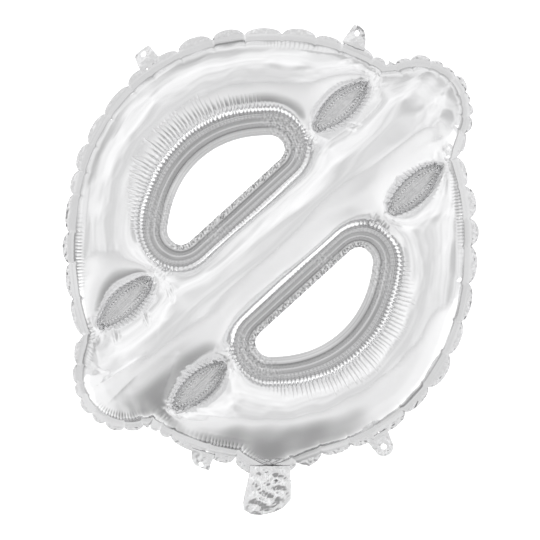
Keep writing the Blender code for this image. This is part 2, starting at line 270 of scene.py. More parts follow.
def stripFor(own, width, share, rows, lean=0.0, fanning=0.5 * mm):
    room = np.minimum(width, share * clearance(own))
    reach = np.minimum(softened(room, 5 * mm / own["step"]), 1.06 * room)
    reach = np.minimum(softened(reach, 1 * mm / own["step"]), 1.1 * room)
    # the columns fan out evenly round a sharp tip: their angle is smoothed apart from its whole turn
    angle = np.unwrap(np.arctan2(own["normal"][:, 1], own["normal"][:, 0]))
    turn = np.sign(angle[-1] - angle[0]) * tau * np.arange(own["count"]) / own["count"]
    angle = softened(angle - turn, fanning / own["step"]) + turn + lean
    way = np.column_stack([np.cos(angle), np.sin(angle)])
    own["reach"], own["rows"] = reach, (np.arange(rows + 1) / rows) ** 1.8
    return [own["points"] + way * (reach * share)[:, None] for share in own["rows"]]


def towardBar(own, side):
    return np.clip(-side * (own["normal"] @ barSide), 0, 1)


def filmStrips():
    strips = [stripFor(outline, filmLook["outlineStrip"], 0.36, round(13 / coarse), fanning=1.5 * mm)]
    for name, own in openings.items():
        own["bar"] = softened(np.array(towardBar(own, openingSides[name]) > 0.35, float), 9 * mm / own["step"])
        width = filmLook["openingStrip"] + (filmLook["barSideStrip"] - filmLook["openingStrip"]) * own["bar"]
        strips.append(stripFor(own, width, 0.46, round(20 / coarse)))
    for own in lenses.values():
        strips.append(stripFor(own, filmLook["lensStrip"], 0.42, round(13 / coarse), lensLook["lean"], 2.5 * mm))
    return strips


def insideLoop(points, loop):
    # even-odd test for the points in the loop's own box, in slices to keep the arrays small
    near = np.all((points > loop.min(axis=0)) & (points < loop.max(axis=0)), axis=1)
    ax, az = loop[:, 0], loop[:, 1]
    bx, bz = np.roll(ax, -1), np.roll(az, -1)
    level = np.where(az == bz, 1, bz - az)
    held = []
    for part in np.array_split(points[near], max(1, near.sum() // 4000)):
        x, z = part[:, :1], part[:, 1:]
        crosses = ((az > z) != (bz > z)) & (x < (bx - ax) * (z - az) / level + ax)
        held.append(crosses.sum(axis=1) % 2 == 1)
    near[near] = np.concatenate(held)
    return near


def nearestOn(points, loops):
    tree = KDTree(sum(len(loop) for loop in loops))
    index = 0
    for loop in loops:
        for x, z in loop:
            tree.insert((x, z, 0), index)
            index += 1
    tree.balance()
    found = [tree.find((x, z, 0)) for x, z in points]
    return np.array([f[1] for f in found]), np.array([f[2] for f in found])


def filmPlan():
    strips = filmStrips()
    points, faces, start = [], [], 0
    for number, rows in enumerate(strips):
        count = len(rows[0])
        for k in range(len(rows) - 1):
            a = start + k * count + np.arange(count)
            b = start + k * count + (np.arange(count) + 1) % count
            quads = np.column_stack([a, b, b + count, a + count])
            faces.append(quads if number == 0 else quads[:, ::-1])
        points += rows
        start += count * len(rows)
    rims = [rows[-1] for rows in strips]
    reach, pitch = 0.21, filmLook["filling"] * coarse
    x, z = np.meshgrid(np.arange(-reach, reach, pitch), np.arange(-reach, reach, pitch * sin(pi / 3)))
    x[1::2] += pitch / 2
    filling = np.column_stack([x.ravel(), z.ravel()])
    filling = filling[insideLoop(filling, rims[0])]
    for rim in rims[1:]:
        filling = filling[~insideLoop(filling, rim)]
    _, room = nearestOn(filling, rims)
    filling = filling[room > 0.6 * pitch]
    ties, rimIndex, rimOf, at, offset = [], [], [], 0, 0
    for number, rows in enumerate(strips):
        count = len(rows[0])
        rimIndex.append(offset + (len(rows) - 1) * count + np.arange(count))
        ties += [(at + i, at + (i + 1) % count) for i in range(count)]
        rimOf += [number] * count
        offset += count * len(rows)
        at += count
    core = np.vstack([*rims, filling])
    laid = delaunay_2d_cdt([Vector(p) for p in core], ties, [], 0, 1e-9)
    corePoints = np.array([tuple(p) for p in laid[0]])
    triangles = np.array(laid[2])
    owner = np.concatenate([rimOf, np.full(len(corePoints) - at, -1)])[triangles]
    suspect = (owner[:, 0] >= 0) & (owner[:, 0] == owner[:, 1]) & (owner[:, 0] == owner[:, 2])
    middles = corePoints[triangles[suspect]].mean(axis=1)
    inside = insideLoop(middles, rims[0])
    for rim in rims[1:]:
        inside &= ~insideLoop(middles, rim)
    keep = ~suspect
    keep[suspect] = inside
    stripCount = sum(len(rows) * len(rows[0]) for rows in strips)
    toAll = np.concatenate([*rimIndex, stripCount + np.arange(len(corePoints) - at)])
    triangles = toAll[triangles[keep]]
    plan = np.vstack([np.vstack(points), corePoints[at:]])
    seamCount = [len(rows[0]) for rows in strips]
    onSeam = np.zeros(len(plan), bool)
    offset = 0
    for rows, count in zip(strips, seamCount):
        onSeam[offset:offset + count] = True
        offset += count * len(rows)
    return plan, np.vstack(faces), triangles, onSeam


def cells(points, size):
    # the points of each square of the plan, with its middle
    keys = np.floor(points / size).astype(int)
    order = np.lexsort(keys.T)
    breaks = np.flatnonzero(np.any(np.diff(keys[order], axis=0), axis=1)) + 1
    for group in np.split(order, breaks):
        yield group, (keys[group[0]] + 0.5) * size


def seamSegments(step):
    # seam pieces of a few columns each, with the finer pieces that make up each one
    starts, ends = [], []
    for own in allSeams:
        loop = own["points"][::step]
        starts.append(loop)
        ends.append(np.roll(loop, -1, axis=0))
    return np.vstack(starts), np.vstack(ends)


def closenessOf(points, starts, ends):
    a, b = starts[None] - points[:, None], ends[None] - points[:, None]
    cross = np.abs(a[..., 0] * b[..., 1] - a[..., 1] * b[..., 0])
    angle = np.arctan2(cross, a[..., 0] * b[..., 0] + a[..., 1] * b[..., 1])
    lengths = np.hypot(*(ends - starts).T)
    return (lengths * angle / np.maximum(cross, 1e-12)).sum(axis=1)


def seamCloseness(points):
    # pi over this is a distance that rises smoothly from every seam; far seams are read coarsely
    step = 8
    fine = seamSegments(1)
    coarseSeams = seamSegments(step)
    owner = np.concatenate([np.arange(own["count"]) // step + 10000 * i for i, own in enumerate(allSeams)])
    owner = np.unique(owner, return_inverse=True)[1]
    total = np.zeros(len(points))
    for group, middle in cells(points, 0.03):
        near = np.bincount(owner, np.hypot(*(fine[0] - middle).T) < 0.045) > 0
        total[group] = closenessOf(points[group], fine[0][near[owner]], fine[1][near[owner]])
        total[group] += closenessOf(points[group], coarseSeams[0][~near], coarseSeams[1][~near])
    return total


def blownHeight(plan, own, onSeam):
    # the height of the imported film, carried over as squared height per distance from the seams
    cad = np.array([v.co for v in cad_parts["front_panel"].data.vertices])
    squares = {}
    for x, y, z in cad:
        key = (round(x, 4), round(z, 4))
        squares[key] = max(squares.get(key, 0), -y - filmLook["rise"])
    spots = np.array(list(squares))
    rises = np.array(list(squares.values()))
    distance = pi / seamCloseness(spots)
    good = (distance > 4 * mm) & (rises > 4 * mm)
    spots, ratio = spots[good], rises[good] ** 2 / distance[good]
    reach = 6.5 * mm
    smooth = np.zeros(len(plan))
    for group, middle in cells(plan, 0.02):
        near = np.hypot(*(spots - middle).T) < 0.045
        gaps = ((plan[group][:, None] - spots[near][None]) ** 2).sum(axis=2)
        weight = np.exp(-(gaps - gaps.min(axis=1)[:, None]) / (2 * reach ** 2))
        smooth[group] = (weight * ratio[near]).sum(axis=1) / weight.sum(axis=1)
    height = np.sqrt(np.maximum(own * smooth, 0))
    height[onSeam] = 0
    return height


def creased(points, wave, count, seed):
    # crossing sharp folds that bend a little, between about -1 and 1
    chance = Random(seed)
    total = np.zeros(len(points))
    for _ in range(count):
        angle, length = chance.uniform(0, pi), wave * chance.uniform(0.6, 1.7)
        way, cross = np.array([cos(angle), sin(angle)]), np.array([-sin(angle), cos(angle)])
        bend = 0.3 * np.sin(points @ cross * (tau / length) * chance.uniform(0.3, 0.6) + chance.uniform(0, tau))
        total += 4 * np.abs((points @ way / length + bend + chance.random()) % 1 - 0.5) - 1
    return total / count ** 0.5


def swelling(points, wave, count, seed):
    # slow soft waves, between about -1 and 1
    chance = Random(seed)
    total = np.zeros(len(points))
    for _ in range(count):
        angle, length = chance.uniform(0, pi), wave * chance.uniform(0.7, 1.6)
        total += np.sin(points @ (cos(angle), sin(angle)) * (tau / length) + chance.uniform(0, tau))
    return total / count ** 0.5


def rippled(lanes, length, count, seed):
    # even waves across the first column that drift slowly with the others
    chance = Random(seed)
    total = np.zeros(len(lanes))
    for _ in range(count):
        wave = length * chance.uniform(0.6, 2.4)
        drift = sum(2 * np.sin(lanes[:, i] * (tau / wave) * 0.7 + chance.uniform(0, tau)) for i in (1, 2))
        total += np.sin(lanes[:, 0] * (tau / wave) + drift + chance.uniform(0, tau))
    return total / count ** 0.5


def smoothRise(values, low, high):
    share = np.clip((values - low) / (high - low), 0, 1)
    return share * share * (3 - 2 * share)


foldLook = {
    "openingDepth": 1.0 * mm, "outlineDepth": 0.7 * mm, "lensDepth": 1.0 * mm, "kinkDepth": 0.7 * mm,
    "channelDepth": 0.45 * mm, "barWave": 0.26 * mm, "ringWave": 0.26 * mm, "endFacet": (0.5 * mm, 0.12 * mm),
    "laneWave": 0.09 * mm,
}


def ridge(share):
    # a broad back between two sharp tucks
    return 1 - np.abs(2 * share - 1) ** 3.4


def combs(own, strength, length, paintedTuckShade=1.0, paintedLimbLine=0.0):
    # folds that start at a seam and run out into the film: height, and painted shade that darkens their tucks, row
    # after row
    traits = own["traits"][own["fold"]]
    reach = own["reach"] * length * (0.7 + 0.3 * traits[:, 0])
    line = np.abs(2 * own["share"] - 1) ** 6
    heights, paintedShadeRows = [], []
    for share in own["rows"]:
        s = own["reach"] * share
        fade = np.clip(1 - s / reach, 0, 1) ** 0.7 * smoothRise(s, -0.8 * mm, 1.6 * mm)
        size = strength * (0.55 + 0.6 * traits[:, 1]) * fade
        heights.append(size * (ridge(own["share"]) - 0.75))
        # painted shade: thin dark lines along the tucks, plus a painted dark line 4.4 mm from the seam where the
        # pillow's limb would be shaded
        paintedShadeRows.append(line * paintedTuckShade * np.clip(size / (0.4 * mm), 0, 1) + paintedLimbLine * bell(s, 4.4 * mm, 0.45 * mm))
    return np.concatenate(heights), np.concatenate(paintedShadeRows)


def outlineCombs(own):
    zone = combZone(own["points"])
    step = (np.arange(own["count"]) % 4) / 4
    notch = np.exp(-np.minimum(own["share"], 1 - own["share"]) * own["pitch"] / (1.0 * mm))
    heights, paintedShadeRows = [], []
    for share in own["rows"]:
        s = own["reach"] * share
        fade = smoothRise(s, 0, 1.5 * mm) * (1 - smoothRise(s, 5 * mm, 9 * mm))
        crease = notch * smoothRise(s, -1 * mm, 1 * mm) * (1 - share) ** 2
        heights.append(foldLook["outlineDepth"] * zone * fade * (ridge(step) - 0.75) - foldLook["kinkDepth"] * crease)
        # painted shade: darker in the comb tucks and along the kinks of the outline
        paintedShadeRows.append(np.maximum((1 - ridge(step)) * zone * fade, 0.5 * crease))
    return np.concatenate(heights), np.concatenate(paintedShadeRows)


def stripFolds():
    values = [outlineCombs(outline)]
    for own in openings.values():
        bearings = bearingOf(own["points"])
        strong = sum(bell(bearings, m, openingLook["strongSpread"]) for m in openingLook["strongAt"])
        corner = 4 * own["bar"] * (1 - own["bar"])
        strength = foldLook["openingDepth"] * (0.5 + 0.8 * strong + 0.8 * corner) * (1 - 0.5 * own["bar"])
        values.append(combs(own, strength, 0.5 + 0.5 * np.clip(1.3 * strong + own["bar"], 0, 1), 0.55))
    for name, own in lenses.items():
        ringSide = smoothRise(own["normal"] @ barSide * lensEnds[name][1], 0.2, 0.7)
        # lens welds: light painted shade in their tucks, less on the ring side, where a painted dark limb line is
        # added instead
        values.append(combs(own, foldLook["lensDepth"] * (1 - 0.3 * ringSide), 1.0, 0.12 + 0.2 * (1 - ringSide),
                            0.5 * ringSide))
    return np.concatenate([v[0] for v in values]), np.concatenate([v[1] for v in values])


pleats = (
    # from x, z to x, z, half width, height, all mm: long soft creases and the short gathers at lens tips
    (-90, -126, -74, -86, 2.6, 0.7), (-88, -127, -62, -132, 1.6, 0.7), (-88, -130, -40, -134, 1.6, 0.6),
    (-84, -134, -30, -141, 1.3, 0.5), (-150, -121, -97, -86, 1.3, 1.0), (-138, -133, -108, -104, 1.5, 0.9),
    (-138, -100, -146, -76, 3.0, 0.6), (-150, -92, -132, -104, 2.4, 0.5), (-160, -78, -140, -66, 2.4, 0.5),
    (-104, -53, -99, -67, 0.8, -1.0), (-101, -52, -97, -64, 0.7, 0.8), (-129, -67, -125, -80, 0.8, -1.0),
    (-125, -66, -122, -78, 0.7, 0.8), (-84, -32, -78, -46, 0.8, -1.0), (-81, -31, -75, -43, 0.7, 0.8),
    (-66, -111, -76, -108, 0.8, -0.9), (-63, -106, -73, -102, 0.8, -0.9), (-60, -102, -69, -98, 0.8, -0.9),
    (-45, -86, -34, -88, 0.8, -0.9), (62, 101, 75, 97, 0.8, -0.9), (60, 98, 70, 93, 0.7, 0.8),
    (138, 69, 136, 79, 0.8, -0.9), (134, 70, 132, 78, 0.7, 0.8), (106, 47, 103, 57, 0.8, -0.9),
    (54, 150, 82, 160, 1.8, 0.7), (48, 144, 84, 152, 1.4, 0.6), (20, 160, 60, 156, 1.6, 0.5),
    (96, 144, 110, 158, 1.8, 0.4), (118, 150, 138, 138, 2.4, 0.35), (134, 150, 150, 128, 2.4, 0.35),
    (60, 86, 92, 120, 1.2, 0.35), (100, 130, 140, 146, 2.4, 0.3), (96, 66, 150, 92, 2.4, 0.4),
    (-16, -160, -60, -152, 1.6, 0.6), (20, -168, 60, -158, 1.6, 0.5), (-150, 20, -146, 60, 1.8, 0.4),
    (-128, 84, -112, 112, 1.6, 0.4), (154, -20, 148, -60, 1.8, 0.5), (140, -84, 116, -118, 1.8, 0.5),
)


def pleated(points):
    total = np.zeros(len(points))
    for x0, z0, x1, z1, half, high in pleats:
        start, run = np.array([x0, z0]) * mm, np.array([x1 - x0, z1 - z0]) * mm
        share = (points - start) @ run / (run @ run)
        across = np.abs((points - start) @ (-run[1], run[0])) / np.hypot(*run)
        taper = np.sin(pi * np.clip(share, 0, 1)) ** 0.8
        total += high * mm * taper * np.exp(-across / (half * mm * (0.4 + 0.6 * taper) + 1e-6))
    return total


def openFolds(points):
    # folds that don't belong to one seam: gathered channels beside the lenses, bar waves, end facets
    along, across = points @ barWay, points @ barSide
    far = np.abs(along)
    lane = bell(np.abs(across), 0.0445, 5.5 * mm) * smoothRise(far, 0.064, 0.084)
    lane *= 1 - 0.75 * smoothRise(far, 0.098, 0.108) * (1 - smoothRise(far, 0.138, 0.146)) - smoothRise(far, 0.158, 0.172)
    gathers = np.column_stack([along * 0.45, across])
    total = foldLook["channelDepth"] * lane * creased(gathers, 4.6 * mm, 5, 5)
    inBarBand = 1 - smoothRise(np.abs(across), 0.030, 0.040)
    total += foldLook["barWave"] * inBarBand * swelling(np.column_stack([along * 0.16, across]), 0.017, 5, 6)
    ends = smoothRise(np.abs(along), 0.150, 0.185) * (1 - smoothRise(np.abs(across), 0.034, 0.044))
    total += np.where(along < 0, *foldLook["endFacet"]) * ends * creased(points, 0.018, 4, 8)
    total += foldLook["ringWave"] * (1 - inBarBand) * swelling(points, 0.034, 6, 9)
    total += pleated(points)
    lanes = np.column_stack([seamDistance, points * 0.05])
    total += foldLook["laneWave"] * rippled(lanes, 4.2 * mm, 5, 15) * (1 - 0.6 * inBarBand)
    return total


def paintedWeldShade():
    # painted shade: the film's colour is darkened where it leaves a weld; the outline's painted dark line swells and
    # fades along it
    band = np.where(onOutline, 1.6 * mm + 0.8 * mm * swelling(plan, 0.02, 4, 91), 0.7 * mm)
    depth = np.where(onOutline, 0.85, 0.15)
    return depth * np.exp(-(seamDistance / np.clip(band, 0.7 * mm, 3 * mm)) ** 2)


print("meshing the film")
plan, stripQuads, fillTriangles, onSeam = filmPlan()
print("film points", len(plan), "triangles", 2 * len(stripQuads) + len(fillTriangles))
seamDistance = pi / seamCloseness(plan)
height = blownHeight(plan, seamDistance, onSeam)
print("height", round(height.max() * 1000, 1), "mm")
onOutline = np.arange(len(plan)) < outline["count"] * len(outline["rows"])
# bulge moves the film along its normal; the other array is painted shade, darkening the colour in fold tucks and
# beside the welds
bulge, tuck = np.zeros(len(plan)), np.zeros(len(plan))
stripHeights, stripPaintedShade = stripFolds()
bulge[:len(stripHeights)], tuck[:len(stripPaintedShade)] = stripHeights, stripPaintedShade
bulge += openFolds(plan) * smoothRise(height, 1.5 * mm, 7 * mm)
bulge[onSeam] = 0
tuck = np.clip(tuck + paintedWeldShade(), 0, 1)


# Shader maths: a wrapped socket takes + - * / and powers, and adds its own nodes


class Flow:
    def __init__(self, tree, socket):
        self.tree, self.socket = tree, socket

    def math(self, kind, other=None, swap=False):
        pair = [self, other] if not swap else [other, self]
        values = {i: v for i, v in enumerate(pair) if v is not None}
        return self.tree.node("ShaderNodeMath", {"operation": kind}, values)

    def __add__(self, other): return self.math("ADD", other)
    __radd__ = __add__
    def __mul__(self, other): return self.math("MULTIPLY", other)
    __rmul__ = __mul__
    def __sub__(self, other): return self.math("SUBTRACT", other)
    def __rsub__(self, other): return self.math("SUBTRACT", other, True)
    def __truediv__(self, other): return self.math("DIVIDE", other)
    def __pow__(self, other): return self.math("POWER", other)


class Finish:
    def __init__(self, name):
        self.material = bpy.data.materials.new(name)
        self.material.use_nodes = True
        self.nodes = self.material.node_tree.nodes
        self.links = self.material.node_tree.links
        self.shader = self.nodes["Principled BSDF"]

    def node(self, kind, settings=None, values=None, output=0):
        made = self.nodes.new(kind)
        for key, value in (settings or {}).items():
            if key == "stops":
                ramp = made.color_ramp
                while len(ramp.elements) < len(value):
                    ramp.elements.new(0.5)
                for element, (place, colour) in zip(ramp.elements, value):
                    element.position = place
                    element.color = colour
            else:
                setattr(made, key, value)
        for key, value in (values or {}).items():
            self.plug(value, made.inputs[key])
        return Flow(self, made.outputs[output])

    def plug(self, value, socket):
        if isinstance(value, Flow):
            self.links.new(value.socket, socket)
        else:
            socket.default_value = value

    def mark(self, name):
        return self.node("ShaderNodeAttribute", {"attribute_name": name}, output=2)

    def place(self, scale=(1, 1, 1), turn=(0, 0, 0)):
        where = self.node("ShaderNodeTexCoord", output=3)
        return self.node("ShaderNodeMapping", values={"Vector": where, "Scale": scale, "Rotation": turn})

    def set(self, **values):
        for key, value in values.items():
            self.plug(value, self.shader.inputs[key.replace("_", " ")])


def grey(value):
    return (value, value, value * 1.004, 1)


# the third value is how far the painted shade in tucks, welds and rim bands darkens the colour at most
foilLook = {"colour": 0.94, "roughness": 0.11, "paintedShadeDepth": 0.72, "sealColour": 0.88, "sealRoughness": 0.16}


def foilFinish(name, colour, roughness, crinkle, fine, withPaintedShade=False):
    look = Finish(name)
    where = look.place()
    broad = look.node("ShaderNodeTexNoise", values={"Vector": where, "Scale": 22.0, "Detail": 2.0})
    small = look.node("ShaderNodeTexNoise", values={"Vector": where, "Scale": 240.0, "Detail": 3.0})
    cells = look.node("ShaderNodeTexVoronoi", {"feature": "SMOOTH_F1"},
                      {"Vector": where, "Scale": 130.0, "Smoothness": 0.35})
    look.set(Metallic=1.0, Roughness=broad * 0.05 + (roughness - 0.02))
    tint = look.node("ShaderNodeMapRange", values={"Value": broad, "From Min": 0.3, "From Max": 0.7,
                                                   "To Min": colour - 0.02, "To Max": colour + 0.01})
    height = small * fine + cells * crinkle
    if withPaintedShade:
        # painted shade: the colour is darkened by the per-point shade attribute in the fold tucks, beside the welds
        # and in the rim's bands; faint lines of the rolled film run beside the seams
        tint = tint * (1 - look.mark("tuck") * foilLook["paintedShadeDepth"])
        lane = look.node("ShaderNodeCombineXYZ", values={0: look.mark("lane") * 900.0, 1: broad * 3.0, 2: 0.0})
        height = height + look.node("ShaderNodeTexNoise", values={"Vector": lane, "Scale": 1.0, "Detail": 2.0}) * 0.05
    shade = look.node("ShaderNodeCombineColor", values={0: tint, 1: tint, 2: tint * 1.004})
    look.set(Base_Color=shade)
    bump = look.node("ShaderNodeBump", values={"Height": height, "Strength": 1.0, "Distance": 0.001})
    look.set(Normal=bump)
    return look.material


filmFoil = foilFinish("filmFoil", foilLook["colour"], foilLook["roughness"], 0.0, 0.02, True)
sealFoil = foilFinish("sealFoil", foilLook["sealColour"], foilLook["sealRoughness"], 0.05, 0.04)
lensFoil = foilFinish("lensFoil", 0.72, 0.14, 0.03, 0.03)
gatherFoil = foilFinish("gatherFoil", 0.98, 0.38, 0.0, 0.03)
rimFoil = foilFinish("rimFoil", 0.90, 0.12, 0.03, 0.02, True)
neckFoil = foilFinish("neckFoil", 0.90, 0.10, 0.05, 0.04)
valveFilm = foilFinish("valveFilm", 0.80, 0.25, 0.20, 0.10)


def makePiece(name, corners, faces, finish, nodes, smooth=True):
    mesh = bpy.data.meshes.new(name)
    mesh.from_pydata(corners, [], faces)
    mesh.materials.append(finish)
    thing = bpy.data.objects.new(name, mesh)
    bpy.context.scene.collection.objects.link(thing)
    if smooth:
        mesh.shade_smooth()
    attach(thing, "root")
    if nodes:
        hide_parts(*nodes)
    return thing


def surfaceNormals(corners, faces):
    mesh = bpy.data.meshes.new("trial")
    mesh.from_pydata(corners.tolist(), [], faces)
    normals = np.empty(len(corners) * 3)
    mesh.vertex_normals.foreach_get("vector", normals)
    bpy.data.meshes.remove(mesh)
    return normals.reshape(-1, 3)


def filmPiece(name, side, node):
    corners = np.column_stack([plan[:, 0], side * (filmLook["rise"] * 0.5 + height), plan[:, 1]])
    quads = stripQuads if side < 0 else stripQuads[:, ::-1]
    triangles = fillTriangles if side < 0 else fillTriangles[:, ::-1]
    faces = quads.tolist() + triangles.tolist()
    corners += surfaceNormals(corners, faces) * bulge[:, None]
    film = makePiece(name, corners.tolist(), faces, filmFoil, [node])
    # painted shade for each point, read by the foil's colour
    film.data.attributes.new("tuck", "FLOAT", "POINT").data.foreach_set("value", tuck)
    film.data.attributes.new("lane", "FLOAT", "POINT").data.foreach_set("value", seamDistance)
    return film


print("films")
filmPiece("frontFilm", -1, "front_panel")
filmPiece("backFilm", 1, "back_panel")


# Sealed foil: thin closed sheets made from a grid of points


def sheetPiece(name, grid, thick, finish, nodes, wrapRows=False, wrapColumns=False):
    # grid[row][column] of points; its two faces stand half the thickness off, with closed edges
    rows, columns = grid.shape[:2]
    index = np.arange(rows * columns).reshape(rows, columns)
    a = index if wrapRows else index[:-1]
    below = np.roll(index, -1, axis=0) if wrapRows else index[1:]
    quads = np.stack([a, np.roll(a, -1, axis=1), np.roll(below, -1, axis=1), below], axis=-1)
    if not wrapColumns:
        quads = quads[:, :-1]
    quads = quads.reshape(-1, 4)
    corners = grid.reshape(-1, 3)
    normals = surfaceNormals(corners, quads.tolist())
    upper, lower = corners + normals * thick / 2, corners - normals * thick / 2
    shift = len(corners)
    faces = quads.tolist() + (quads[:, ::-1] + shift).tolist()
    borders = []
    if not wrapRows:
        borders += [index[0][::-1], index[-1]]
    if not wrapColumns:
        borders += [index[:, 0], index[:, -1][::-1]]
    for border in borders:
        pairs = list(zip(border, np.roll(border, -1))) if len(border) == columns and wrapColumns \
            else list(zip(border[:-1], border[1:]))
        faces += [(int(q), int(p), int(p) + shift, int(q) + shift) for p, q in pairs]
    thing = makePiece(name, np.vstack([upper, lower]).tolist(), faces, finish, nodes)
    mesh = bmesh.new()
    mesh.from_mesh(thing.data)
    bmesh.ops.recalc_face_normals(mesh, faces=mesh.faces)
    mesh.to_mesh(thing.data)
    mesh.free()
    return thing


marginLook = {
    "band": 5.6 * mm, "low": 6.0 * mm, "lobe": (3.0 * mm, 6.4 * mm), "tilt": 9, "crumple": 0.75 * mm,
    "thick": 0.36 * mm,
}


def outerMargin():
    traits = outline["traits"][outline["fold"]]
    share, pitch = outline["share"], outline["pitch"]
    low, high = marginLook["lobe"]
    arc = np.clip(1 - np.abs(2 * share - 1) ** 2.2, 0, 1) ** 0.8
    span = np.clip(pitch / (24 * mm), 0.45, 1)
    edge = marginLook["low"] + (low + (high - low) * traits[:, 0]) * arc * span
    turn = radians(marginLook["tilt"]) * (traits[:, 1] * 2 - 1)
    turn = softened(turn, 0.5 * mm / outline["step"])
    step = softened(0.4 * mm * (traits[:, 2] * 2 - 1), 0.5 * mm / outline["step"])
    outward = -outline["normal"]
    bearings = bearingOf(outline["points"])
    busy = 0.45 + 0.55 * sum(bell(bearings, m, w) for m, w in ((182, 13), (352, 16), (12, 12), (42, 8), (300, 9)))
    rows = []
    for k in (-0.1, 0, 0.08, 0.3, 0.55, 0.8, 0.97, 1.03, 1.15, 1.3, 1.45, 1.6, 1.75, 1.88, 2.0):
        o = marginLook["band"] * min(k, 1) + (edge - marginLook["band"]) * max(k - 1, 0)
        flat = outline["points"] + outward * (o[:, None] if np.ndim(o) else o)
        loose = float(smoothRise(k, 0.97, 1.4)) * busy
        y = np.sin(turn) * o + step * min(max(k, 0) * 3, 1) + 0.25 * mm * (k > 0.9)
        y = y + marginLook["crumple"] * loose * (creased(flat, 7 * mm, 4, 32) + 0.6 * creased(flat, 3.4 * mm, 3, 33))
        rows.append(np.column_stack([flat[:, 0], y, flat[:, 1]]))
    return sheetPiece("sealedMargin", np.array(rows), marginLook["thick"], sealFoil,
                      ["outer_margin"], wrapColumns=True)


rimLook = {
    "profile": ((0, 0.7), (3, 0.25), (6.2, -0.5), (6.8, -0.9), (7.4, -0.25), (10.0, 0.2), (10.9, 0.75),
                (11.8, 0.1), (14.4, -0.5), (17.5, 0.0)),
    # painted shade bands across the rim, mm from the hole and strength, standing in for shade and dark reflections
    # from the pillows
    "shade": ((0, 0.3), (0.7, 0.1), (1.6, 0.4), (2.2, 0.05), (3.4, 0.35), (4.2, 0.1), (5.6, 0.35), (6.4, 0.6),
              (6.8, 1.0), (7.4, 0.66), (9.9, 0.6), (10.5, 0.15), (11.2, 0.1), (11.8, 0.62), (14.6, 0.66),
              (15.4, 0.1), (16.9, 0.0), (17.1, 0.45), (17.6, 0.7)),
    "crumple": 0.75 * mm, "thick": 0.36 * mm,
}


def openingRim(name, side):
    own = openings[name]
    seal = letter["sealAtRing"] + (letter["sealAtBar"] - letter["sealAtRing"]) * towardBar(own, side) ** 2
    strong = foldLook["openingDepth"] * (ridge(own["share"]) - 0.55)
    away, lift = np.array(rimLook["profile"]).T * mm
    rows, shades, lanes = [], [], []
    for v in np.concatenate([[-0.04], np.linspace(0, 1, 26)]):
        flat = own["points"] - own["normal"] * (seal * v)[:, None]
        left = seal * (1 - v)
        y = np.interp(left * letter["sealAtRing"] / seal, away, lift)
        crumpled = own["bar"] * (1 - smoothRise(left, 4 * mm, 6 * mm))
        along = np.abs(flat @ barWay)
        corner = smoothRise(along, 0.058, 0.072) * (side * (flat @ barWay) > 0)
        corner += 0.7 * bell(bearingOf(flat), 165 if side > 0 else 345, 7)
        crumpled = np.maximum(crumpled, 0.4 * corner)
        y = y + rimLook["crumple"] * crumpled * creased(flat, 3.6 * mm, 5, 41)
        y = y - 0.6 * strong * np.exp(-seal * v / (0.9 * mm))
        y = y * smoothRise(np.full(len(flat), v), 0, 0.12)
        rows.append(np.column_stack([flat[:, 0], y, flat[:, 1]]))
        left *= letter["sealAtRing"] / seal
        # painted shade: the rim's bands, turned into painted crumple shade near the bar and at the corners
        shade = np.interp(left, *np.array(rimLook["shade"]).T * [[mm], [1]])
        paintedCrumpleShade = np.clip(0.4 + 0.5 * creased(flat, 3.6 * mm, 4, 44), 0, 0.9)
        shades.append(shade + (paintedCrumpleShade - shade) * np.maximum(own["bar"] * (1 - smoothRise(left, 4 * mm, 6 * mm)), 0.5 * corner))
        lanes.append(left)
    rim = sheetPiece(name + "OpeningRim", np.array(rows), rimLook["thick"], rimFoil,
                     [name + "_opening_edge"], wrapColumns=True)
    for key, values in (("tuck", shades), ("lane", lanes)):
        both = np.tile(np.concatenate(values), 2)
        rim.data.attributes.new(key, "FLOAT", "POINT").data.foreach_set("value", both)
    return rim


lensPatch = {"thick": 0.36 * mm, "streak": 0.45 * mm, "pitch": 2.6 * mm, "over": 0.5 * mm}


def lensSeal(name, node):
    end, side = lensEnds[name]
    tip, bow = letter["lensTip"], letter["lensHalfWidth"] - letter["lensTip"]
    rows = []
    for turn in np.linspace(-1, 1, 72):
        along = turn * (letter["lensHalfLength"] + 0.3 * mm)
        inner = np.clip(along / (letter["lensHalfLength"] - tip), -1, 1)
        half = bow * (1 - inner ** 2) + (tip + lensPatch["over"]) * max(1 - turn ** 6, 0.001) ** 0.5
        across = np.linspace(-1, 1, 27) * half
        flat = (end * letter["lensAlong"] + along) * barWay + (side * letter["lensAcross"] + across)[:, None] * barSide
        calm = 1 - smoothRise(np.abs(np.linspace(-1, 1, 27)), 0.80, 0.97)
        streaks = creased(np.column_stack([across, np.full(27, along * 0.06)]), lensPatch["pitch"], 3, 50)
        y = lensPatch["streak"] * calm * (streaks + 0.5 * creased(flat, 6 * mm, 3, 51))
        rows.append(np.column_stack([flat[:, 0], y, flat[:, 1]]))
    return sheetPiece(name + "LensSeal", np.array(rows), lensPatch["thick"], lensFoil, [node])


print("sealed margin, opening rims and lens seals")
outerMargin()
for name, side in openingSides.items():
    openingRim(name, side)
for name in lensEnds:
    node = "lens_seal_" + "".join("_" + c.lower() if c.isupper() else c for c in name)
    lensSeal(name, node)


neckLook = {
    "left": ((-160, -15.0), (-176, -16.0), (-183, -16.9), (-190, -17.4), (-197, -19.0), (-207.7, -21.5),
             (-213.5, -22.4), (-223, -21.0)),
    "right": ((-160, 15.0), (-176, 16.2), (-183, 17.0), (-190, 17.1), (-202.8, 17.9), (-209.4, 17.4), (-223, 17.2)),
    "bottom": ((0, -218.0), (0.15, -221.6), (0.35, -222.4), (0.65, -219.8), (0.85, -216.0), (1, -209.5)),
    "bulge": 3.4 * mm, "crumple": 1.7 * mm, "thick": 0.3 * mm,
}


